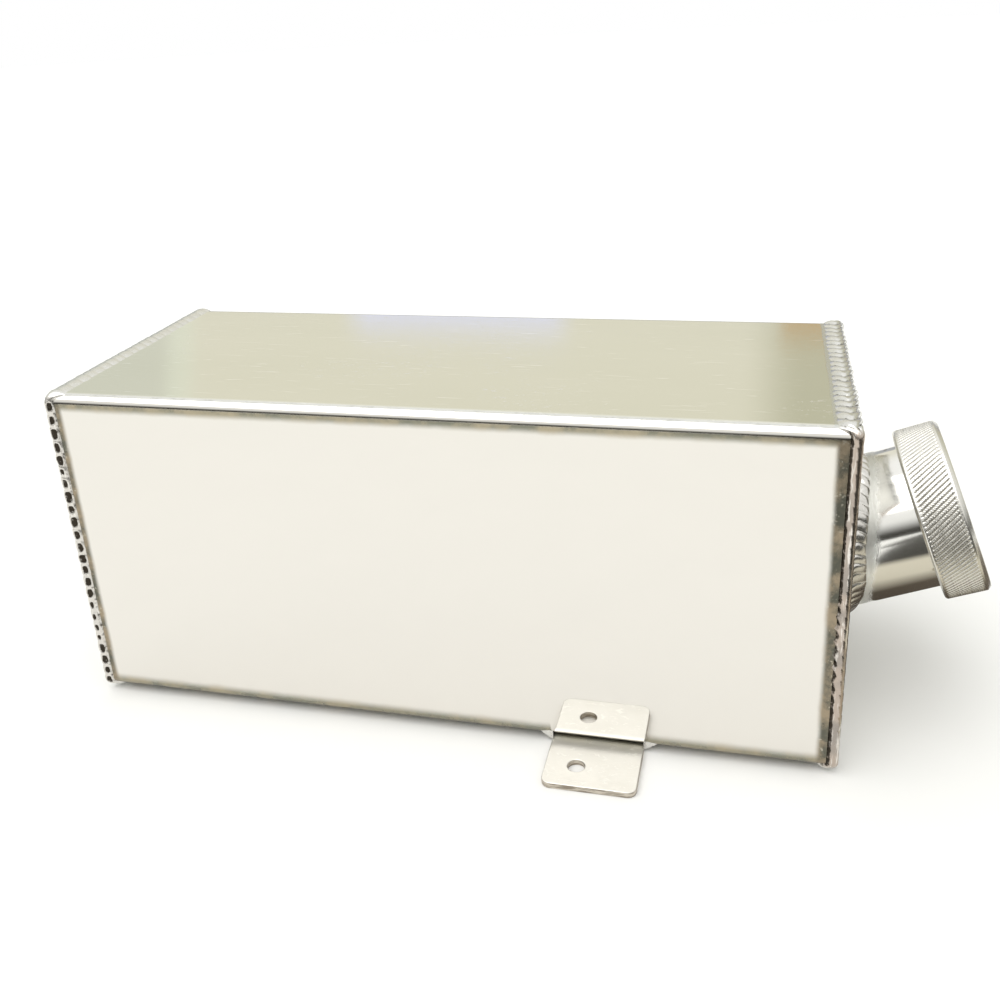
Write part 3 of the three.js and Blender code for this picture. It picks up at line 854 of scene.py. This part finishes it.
def half_turn():
    """Turns the front tab's place into the rear tab's, about the tank's upright middle line."""
    return Matrix.Translation(MIDDLE) @ Matrix.Rotation(math.pi, 4, "Z") @ Matrix.Translation(-MIDDLE)


def mount_tab(name, turn, node):
    low, high, r = TAB_LOW, TAB_HIGH, TAB_CORNER
    edge = [(high.x, high.y), (low.x, high.y),
            *arc(low.x + r, low.y + r, r, 180, 270), *arc(high.x - r, low.y + r, r, 270, 360)]
    hole = arc(low.x + TAB_HOLE.inwards, WRAP_LOW.y - TAB_HOLE.outwards, TAB_HOLE.radius, 360, 0, 48)[:-1]
    tab = plate(name, [edge, hole], high.z - low.z, 0.3 * MM, look.tab)
    move_mesh(tab, turn @ Matrix.Translation((0, 0, (low.z + high.z) / 2)))
    return finished(tab, "tank", node)


def tab_weld(name, turn, seed, node):
    """A U-shaped fillet round the lapped end, with a full blob at each front end."""
    front = WRAP_LOW.y + 0.4 * MM
    low, high = TAB_LOW, TAB_HIGH

    def line(away, z):
        r = away + 0.4 * MM
        back = high.y + away
        left, right = low.x - away, high.x + away
        corner_1 = arc(left + r, back - r, r, 180, 90, 24)
        corner_2 = arc(right - r, back - r, r, 90, 0, 24)
        side = [(left, front + (back - r - front) * k / 60) for k in range(60)]
        behind = [(left + r + (right - left - 2 * r) * k / 130, back) for k in range(1, 130)]
        other = [(right, back - r - (back - r - front) * k / 60) for k in range(1, 61)]
        path = np.array(side + corner_1 + behind + corner_2 + other)
        return np.column_stack([path, np.full(len(path), z)])

    def up_the_bend(points):
        """Lifts points on the underside on to the front bend."""
        inside = np.clip(WRAP_LOW.y + BEND - points[:, 1], 0, 0.98 * BEND)
        points[:, 2] += BEND - np.sqrt(BEND ** 2 - inside ** 2)
        return points

    feet = line(0.1 * MM, 0.7 * MM)
    tops, roots = up_the_bend(line(TAB_WELD_LEG, UNDERSIDE)), up_the_bend(line(0, UNDERSIDE))
    steps = np.linalg.norm(np.diff(roots, axis=0), axis=1)
    u = np.concatenate([[0], np.cumsum(steps)])
    near = np.minimum(u, u[-1] - u)
    full = np.sqrt(np.clip(near / (1.2 * MM), 0.1, 1))[:, None]
    swell = (1 + 0.45 * np.exp(-((near - 2 * MM) / (2.2 * MM)) ** 2))[:, None]
    feet = roots + (feet - roots) * full
    tops = roots + (tops - roots) * full * swell
    lifted = roots + (0, 0, 0.4 * MM)
    bead = fillet_bead(name, feet, tops, lifted, 3.6 * MM, seed, 0.3 * MM, False, 0.1, node, soot=0.3)
    move_mesh(bead, turn)
    return bead


# ---- Filler ----

NECK = axis_matrix(NECK_BASE, NECK_AXIS)


def beside_plate(angles, r, x):
    """Points on a tube of radius r round the neck's axis, at a distance x out from the end plate."""
    return polar(r, angles, (x + r * np.sin(angles) * math.sin(NECK_TILT)) / math.cos(NECK_TILT))


def filler_neck():
    """A smooth tube whose inner end is cut flush with the inside of the end plate."""
    angles = even_angles(128)
    inside = PLATE_FACE - 5.5 * MM - NECK_BASE.x
    rows = []
    for r, along in ((NECK_RADIUS, (0, 1)), (NECK_RADIUS - NECK_WALL, (1, 0))):
        start = beside_plate(angles, r, inside)
        end = polar(r, angles, NECK_END)
        rows += [blend(start, end, t) for t in np.linspace(*along, 24)]
    points = place(np.array(rows).reshape(-1, 3), NECK)
    faces = grid_faces(len(rows), len(angles), True)
    neck = new_object("filler_neck_tube", points, faces, look.tube, 50)
    return finished(neck, "tank", "filler_neck")


def neck_weld():
    """A laid fillet that follows the tilted tube's oval on the end plate."""
    angles = even_angles(1100)
    ragged = 1 + 0.09 * wobble(angles * NECK_RADIUS, 31, 9 * MM)
    roots = place(beside_plate(angles, NECK_RADIUS - 0.4 * MM, 0), NECK)
    tops = place(beside_plate(angles, NECK_RADIUS + 0.05 * MM, 8.6 * MM * ragged), NECK)
    oval = place(beside_plate(angles, NECK_RADIUS, 0), NECK)
    out = oval - np.array(NECK_BASE)
    out /= np.linalg.norm(out, axis=1)[:, None]
    feet = oval + out * (4.6 * MM * ragged)[:, None]
    feet[:, 0] = PLATE_FACE + 0.02 * MM
    return fillet_bead("neck_weld_bead", feet, tops, roots, 4.2 * MM, 32, 0.6 * MM, True, 0.2, "neck_weld",
                       soot=0.25)


def filler_bung():
    """The threaded spigot that the cap screws on to, with a seat for the strainer."""
    spigot = NECK_RADIUS - NECK_WALL - 0.1 * MM
    shoulder = NECK_END + 0.1 * MM
    wall = 27.4 * MM
    bore, seat, bottom = 23 * MM, 24.5 * MM, 24 * MM
    outline = [(bore, bottom), (spigot, bottom), (spigot, shoulder), (NECK_RADIUS, shoulder),
               (NECK_RADIUS, shoulder + 1.5 * MM), (wall, shoulder + 1.5 * MM), (wall, BUNG_TOP),
               (seat, BUNG_TOP), (seat, BUNG_SEAT), (bore, BUNG_SEAT)]
    thread = Thread(shoulder + 1.9 * MM, BUNG_TOP - 0.5 * MM, CAP_PITCH, 0.65 * MM, wall)
    bung = turned("filler_bung_thread", outline, NECK, look.machined, 160, 0.3 * MM, thread)
    return finished(bung, "tank", "filler_bung")


class Knurl:
    """Two families of helical grooves: a deep one, and a finer one that crosses it."""

    DEEP_COUNT, FINE_COUNT = 116, 232
    DEEP, FINE = 0.42 * MM, 0.2 * MM
    SLOPE = math.tan(math.radians(30))
    COLUMNS = DEEP_COUNT * 8

    def __init__(self, start, end, radius):
        self.start, self.end, self.radius = start, end, radius

    def turn(self, s):
        """How far the deep grooves have turned at a distance along the cap."""
        return -np.clip(s, self.start, self.end) * self.SLOPE / self.radius

    def grooves(self, angles, s):
        """(depth cut in metres, groove from 0 to 1) at angles on one row."""
        deep = self.notch(self.DEEP_COUNT * (angles - self.turn(s)) / TAU, 0.4)
        fine = self.notch(self.FINE_COUNT * (angles + self.turn(s)) / TAU, 0.45)
        fade = float(np.clip(min(s - self.start, self.end - s) / (0.7 * MM), 0, 1))
        cut = (self.DEEP * deep + self.FINE * fine) * fade
        return cut, np.clip(deep * 0.9 + fine * 0.25, 0, 1) * fade

    @staticmethod
    def notch(phase, width):
        f = phase - np.floor(phase)
        return np.clip(1 - np.abs(2 * f - 1) / width, 0, 1)


def cap_outline(bore, inside):
    """The cap's section: chamfered outside, with a shallow dish in its top and a vent hole through it."""
    vent, chamfer, rim = 1.5 * MM, 1.5 * MM, 24 * MM
    dish = CAP_END - 0.4 * MM
    return [(CAP_RADIUS, CAP_START + 0.7 * MM), (CAP_RADIUS, CAP_END - chamfer),
            (CAP_RADIUS - chamfer, CAP_END), (rim, CAP_END), (rim - 0.6 * MM, dish), (vent + 0.5 * MM, dish),
            (vent, dish - 0.4 * MM), (vent, inside), (bore, inside), (bore, CAP_START + 0.5 * MM),
            (bore + 0.6 * MM, CAP_START), (CAP_RADIUS - 0.7 * MM, CAP_START)]


def filler_cap():
    """The knurled cap: bright rims, a vent hole through its top, and a coarse thread inside."""
    bore, inside = 29 * MM, CAP_END - 3.3 * MM
    knurl = Knurl(CAP_START + 1.3 * MM, CAP_END - 2.1 * MM, CAP_RADIUS)
    thread = Thread(CAP_START + 1 * MM, inside - 2.4 * MM, CAP_PITCH, -0.6 * MM, bore)
    rows = with_fine_rows(soften(cap_outline(bore, inside), 0.3 * MM), bore, CAP_PITCH)
    rows = with_fine_rows(rows, CAP_RADIUS, 2.7 * MM)
    angles = even_angles(Knurl.COLUMNS)
    points = np.zeros((len(rows), Knurl.COLUMNS, 3))
    groove = np.zeros((len(rows), Knurl.COLUMNS))
    for i, (r, s) in enumerate(rows):
        turned_by = angles + knurl.turn(s)
        radii = thread.radii(r, s, turned_by)
        if abs(r - CAP_RADIUS) < 1e-6 and knurl.start < s < knurl.end:
            cut, groove[i] = knurl.grooves(turned_by, s)
            radii = r - cut
        points[i] = polar(radii, turned_by, s)
    cap = lathed("knurled_cap", points, NECK, look.cap, 40, {"groove": groove})
    return finished(cap, "cap", "filler_cap")


def cap_gasket():
    top = CAP_END - 3.4 * MM
    outline = ring_outline(23.5 * MM, 28.5 * MM, top - 2 * MM, top)
    ring = turned("cap_gasket_ring", outline, NECK, look.rubber, radius=0.35 * MM)
    return finished(ring, "cap_seal", "cap_gasket")


# ---- Ports and drain ----

PORTS = {
    "suction": SimpleNamespace(y=-28 * MM, z=30 * MM, bore=9.5 * MM, spigot=12.5 * MM, flange=16 * MM),
    "return": SimpleNamespace(y=28 * MM, z=92 * MM, bore=7.6 * MM, spigot=10.5 * MM, flange=13.5 * MM),
}
PORT_HEIGHT = 12 * MM
PORT_FILLET = 3.6 * MM
DRAIN = SimpleNamespace(bore=6.2 * MM, spigot=10 * MM, flange=12 * MM, height=6 * MM)
DRAIN_AXIS = axis_matrix(DRAIN_BASE, Vector((0, 1, 0)))
HEX_ACROSS = 17 * MM
DRAIN_PITCH = 1.5 * MM


def bung(name, part, wall, height, pitch, matrix, node):
    """A welded-in threaded boss: a spigot through the wall, a flange outside and a thread in its bore."""
    inner, face, chamfer, countersink = -wall - 2 * MM, 0.05 * MM, 1 * MM, 1.1 * MM
    outline = [(part.bore, inner), (part.spigot, inner), (part.spigot, face),
               (part.flange, face), (part.flange, height - chamfer), (part.flange - chamfer, height),
               (part.bore + countersink, height), (part.bore, height - countersink)]
    thread = Thread(inner, height - countersink, pitch, 0.5 * MM, part.bore)
    boss = turned(name, outline, matrix, look.machined, 96, 0.25 * MM, thread)
    return finished(boss, "tank", node)


def ring_weld(name, radius, matrix, seed, node):
    """A rippled fillet round a boss."""
    angles = even_angles(520)
    ragged = 1 + 0.08 * wobble(angles * radius, seed, 6 * MM)
    feet = place(polar(radius + PORT_FILLET * ragged, angles, 0.02 * MM), matrix)
    tops = place(polar(radius + 0.02 * MM, angles, PORT_FILLET * ragged), matrix)
    roots = place(polar(radius - 0.3 * MM, angles, -0.3 * MM), matrix)
    return fillet_bead(name, feet, tops, roots, 3.8 * MM, seed, 0.3 * MM, True, 0.15, node)


def ports():
    for seed, (name, part) in enumerate(PORTS.items(), 41):
        middle = Vector((PORT_FACE, part.y, part.z))
        matrix = axis_matrix(middle, Vector((-1, 0, 0)))
        bung(f"{name}_port_boss", part, 3 * MM, PORT_HEIGHT, 1.8 * MM, matrix, f"{name}_port")
        ring_weld(f"{name}_port_bead", part.flange, matrix, seed, f"{name}_port_weld")


def drain():
    bung("drain_port_boss", DRAIN, SHEET, DRAIN.height, DRAIN_PITCH, DRAIN_AXIS, "drain_port")
    ring_weld("drain_port_bead", DRAIN.flange, DRAIN_AXIS, 47, "drain_port_weld")
    low = DRAIN.height + 0.1 * MM
    high = low + 1.5 * MM
    washer = ring_outline(DRAIN.bore, 9 * MM, low, high)
    ring = turned("drain_washer_ring", washer, DRAIN_AXIS, look.copper, 64)
    finished(ring, "drain_seal", "drain_washer")
    drain_plug(high + 0.1 * MM)


def drain_plug(bottom):
    """A hexagon head with chamfered corners, a flange face and a threaded shank."""
    shank, thread_depth, end = 5.4 * MM, 0.42 * MM, 4.6 * MM
    tip, top = bottom - 10.7 * MM, bottom + 6.5 * MM
    angles = even_angles(96)
    flat = (angles + math.pi / 6) % (math.pi / 3) - math.pi / 6
    hexagon = HEX_ACROSS / 2 / np.cos(flat)
    rows = [(AXIS, tip), (end, tip)]
    for s in np.linspace(tip + 0.8 * MM, bottom - 0.02 * MM, 70):
        rows.append((shank + thread_depth * wave(s / DRAIN_PITCH - angles / TAU), s))
    rows += [(8.2 * MM, bottom), (8.45 * MM, bottom + 0.6 * MM)]
    corners = [(bottom + 0.7 * MM, 8.7), (bottom + 1.3 * MM, 9.35), (bottom + 2.0 * MM, 9.9),
               (top - 1.3 * MM, 9.9), (top - 0.6 * MM, 9.35), (top, 8.2)]
    rows += [(np.minimum(hexagon, reach * MM), s) for s, reach in corners]
    rows += [(5.2 * MM, top), (end, top - 0.5 * MM), (AXIS, top - 0.5 * MM)]
    points = np.array([polar(radii, angles, s) for radii, s in rows])
    plug = lathed("drain_plug_hex", points, DRAIN_AXIS, look.steel, 28)
    return finished(plug, "drain_screw", "drain_plug")


# ---- Seam weld underneath ----

def seam_bead():
    """The low bead that closes the folded sheet, along the underside."""
    low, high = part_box("seam_weld")
    count = 1400
    x = np.linspace(low.x, high.x, count)
    middle = (low.y + high.y) / 2
    half = 3.1 * MM * (1 + 0.06 * wobble(x, 61, 12 * MM))
    near = np.minimum(x - low.x, high.x - x)
    full = np.sqrt(np.clip(near / (3 * MM), 0.03, 1))
    z = np.full(count, UNDERSIDE)
    feet = np.column_stack([x, middle - half * full, z])
    tops = np.column_stack([x, middle + half * full, z])
    roots = np.column_stack([x, np.full(count, middle), z + 0.9 * MM])
    return fillet_bead("seam_weld_bead", feet, tops, roots, 4.2 * MM, 62, 0.75 * MM, False, 0.2, "seam_weld",
                       lag=2 * MM)


# ---- Building the object ----

tank_wrap()
end_bead("end_bead_filler", 1, 11, "end_weld_filler", SimpleNamespace(
    pitch=5.4 * MM, lag=-7.5 * MM, ridge=0.38, level_height=0.9 * MM, upright_height=0.13 * MM,
    level_soot=0.6, crack=0.95, pits=0.0, pit_at=0.0, teeth=1.0, shade=1.0))
end_bead("end_bead_ports", -1, 12, "end_weld_ports", SimpleNamespace(
    pitch=5.4 * MM, lag=2.0 * MM, ridge=0.0, level_height=0.15 * MM, upright_height=0.35 * MM,
    level_soot=0.12, crack=0.3, pits=1.0, pit_at=-0.45, teeth=0.3, shade=0.35))
mount_tab("front_tab_plate", Matrix.Identity(4), "mount_tab_front")
mount_tab("rear_tab_plate", half_turn(), "mount_tab_rear")
tab_weld("front_tab_bead", Matrix.Identity(4), 21, "tab_weld_front")
tab_weld("rear_tab_bead", half_turn(), 22, "tab_weld_rear")
filler_neck()
neck_weld()
filler_bung()
filler_cap()
cap_gasket()
ports()
drain()
seam_bead()

# CAD nodes that stay as they are, and only take a finish
CAD_FINISHES = [
    (look.plate, ["end_plate_filler", "end_plate_ports", "baffle_plate", "return_pipe"]),
    (look.seam, ["baffle_weld_1", "baffle_weld_2", "baffle_weld_3", "baffle_weld_end"]),
    (look.bronze, ["vent_filter"]),
    (look.steel, ["strainer_basket", "strainer_ring", "vent_retainer", "suction_nut", "suction_screen",
                  "suction_end_cap"]),
]
for material, nodes in CAD_FINISHES:
    for node in nodes:
        mesh = frame["nodes"][node].data
        mesh.materials.clear()
        mesh.materials.append(material)


# ---- Studio ----

def floor():
    """A wide pale floor, and two cards on it that only the mirroring metal sees."""
    disc("studio_floor", 9.0, studio_floor())
    dark, olive = (0.04, 0.038, 0.032), (0.6, 0.565, 0.47)
    card("card_in_front", (0.14, 4.0), (-7.0, -0.42), [(0, (0.05, 0.048, 0.04))])
    # Its dark brown far end, under the neck and cap, is a painted floor shadow seen only in reflections.
    card("card_by_filler", (0.155, 0.9), (-0.42, 0.06),
         [(0.58, dark), (0.65, olive), (0.76, olive), (0.84, (0.1, 0.08, 0.06))])


def disc(name, radius, material):
    angles = even_angles(96)
    radii = radius * np.linspace(0, 1, 9)[1:]
    points = np.concatenate([polar(r, angles, 0) for r in radii])
    faces = grid_faces(len(radii), len(angles), False) + [tuple(range(len(angles)))]
    return new_object(name, points, faces, material, 35)


def card(name, x_range, y_range, stops):
    """A card lying on the floor, unseen by the camera, whose colour changes from its front to its back."""
    (left, right), (front, back), height = x_range, y_range, 0.5 * MM
    corners = [(left, front, height), (right, front, height), (right, back, height), (left, back, height)]
    s = Shader(name)
    ramp = s.tree.nodes.new("ShaderNodeValToRGB")
    elements = ramp.color_ramp.elements
    s.feed(ramp.inputs[0], (s.split(s.here)[1] - front) / (back - front))
    for index, (position, colour) in enumerate(stops):
        stop = elements.new(position) if index else elements[0]
        stop.position = position
        stop.color = (*colour, 1)
    elements.remove(elements[-1])
    material = s.finish(Value(s, ramp.outputs[0]), 0.9, metallic=0.0)
    thing = new_object(name, corners, [(0, 1, 2, 3)], material, 35)
    thing.visible_camera = thing.visible_diffuse = thing.visible_shadow = False


def softbox():
    """One soft sun, as wide as a large softbox, from above the camera's left."""
    data = bpy.data.lights.new("softbox", "SUN")
    data.energy = 1.2
    data.color = (1.0, 0.995, 0.98)
    data.angle = math.radians(60)
    light = link("softbox", data)
    light.location = (-0.5, -0.9, 2.2)
    direction = Vector((0, 0, 0.05)) - light.location
    light.rotation_euler = direction.to_track_quat("-Z", "Y").to_euler()


def sky():
    """The room that the metal mirrors: white overhead, dark low in front, olive behind.
    The camera itself sees only white."""
    world = bpy.data.worlds.new("studio_sky")
    bpy.context.scene.world = world
    world.use_nodes = True
    s = Nodes(world.node_tree)
    x, y, z = s.split(s.node("ShaderNodeTexCoord", {}, "Generated"))
    front = s.mix(s.step(z, 0.08, 0.42), (0.045, 0.043, 0.037), (0.92, 0.92, 0.89))
    room = s.mix(s.step(y, 0.05, 0.45), front, back_of_room(s, x, z / s.most(y, 0.05)))
    room = s.mix(s.step(z, 0.38, 0.8), room, (1.0, 1.0, 0.98))
    seen = s.node("ShaderNodeLightPath", {}, "Is Camera Ray")
    background = world.node_tree.nodes["Background"]
    s.feed(background.inputs[0], s.mix(seen, room, (1.0, 1.0, 1.0)))


def back_of_room(s, x, slope):
    """What the top mirrors, from left to right: grey, a pale green band, straw and olive, and low behind them
    a window and a brown corner. slope is height over distance behind."""
    left_edge, strip_top = -0.53, 0.303
    colour = s.mix(s.step(x, left_edge, -0.505), (0.72, 0.73, 0.65), (0.83, 0.81, 0.7))
    band = s.step(x, left_edge, -0.52) * s.fade(x, -0.512, -0.5)
    colour = s.mix(band * 0.6, colour, (0.84, 0.88, 0.77))
    colour = s.mix(s.step(x, -0.02, 0.04), colour, (0.6, 0.59, 0.47))
    window = s.step(x, -0.39, -0.36) * s.fade(x, -0.2, -0.17) * s.fade(slope, strip_top, 0.312)
    colour = s.mix(window, colour, (0.86, 0.89, 1.18))
    brown = s.step(x, 0.012, 0.022) * s.fade(slope, strip_top, 0.308)
    colour = s.mix(brown, colour, (0.62, 0.42, 0.22))
    return s.mix(s.fade(slope, 0.25, 0.275), colour, (0.42, 0.43, 0.44))


# ---- Camera, at the photograph's angle ----

def camera():
    azimuth, elevation, roll = (math.radians(a) for a in (14.95, 21.23, -3.11))
    forward = Vector((-math.sin(azimuth) * math.cos(elevation), math.cos(azimuth) * math.cos(elevation),
                      -math.sin(elevation)))
    level = Vector((math.cos(azimuth), math.sin(azimuth), 0))
    upright = level.cross(forward)
    right = level * math.cos(roll) + upright * math.sin(roll)
    up = right.cross(forward)
    data = bpy.data.cameras.new("camera")
    data.sensor_width = 36
    data.lens = 37.55
    data.shift_y = -0.0897
    data.clip_end = 30
    seen_from = link("camera", data)
    spot = Vector((MIDDLE.x, MIDDLE.y, UNDERSIDE)) + Vector((118.87, -386.92, 267.67)) * MM
    turn = Matrix((right, up, -forward)).transposed()
    seen_from.matrix_world = Matrix.Translation(spot) @ turn.to_4x4()
    bpy.context.scene.camera = seen_from


floor()
sky()
softbox()
camera()
bpy.context.scene.view_settings.view_transform = "Standard"
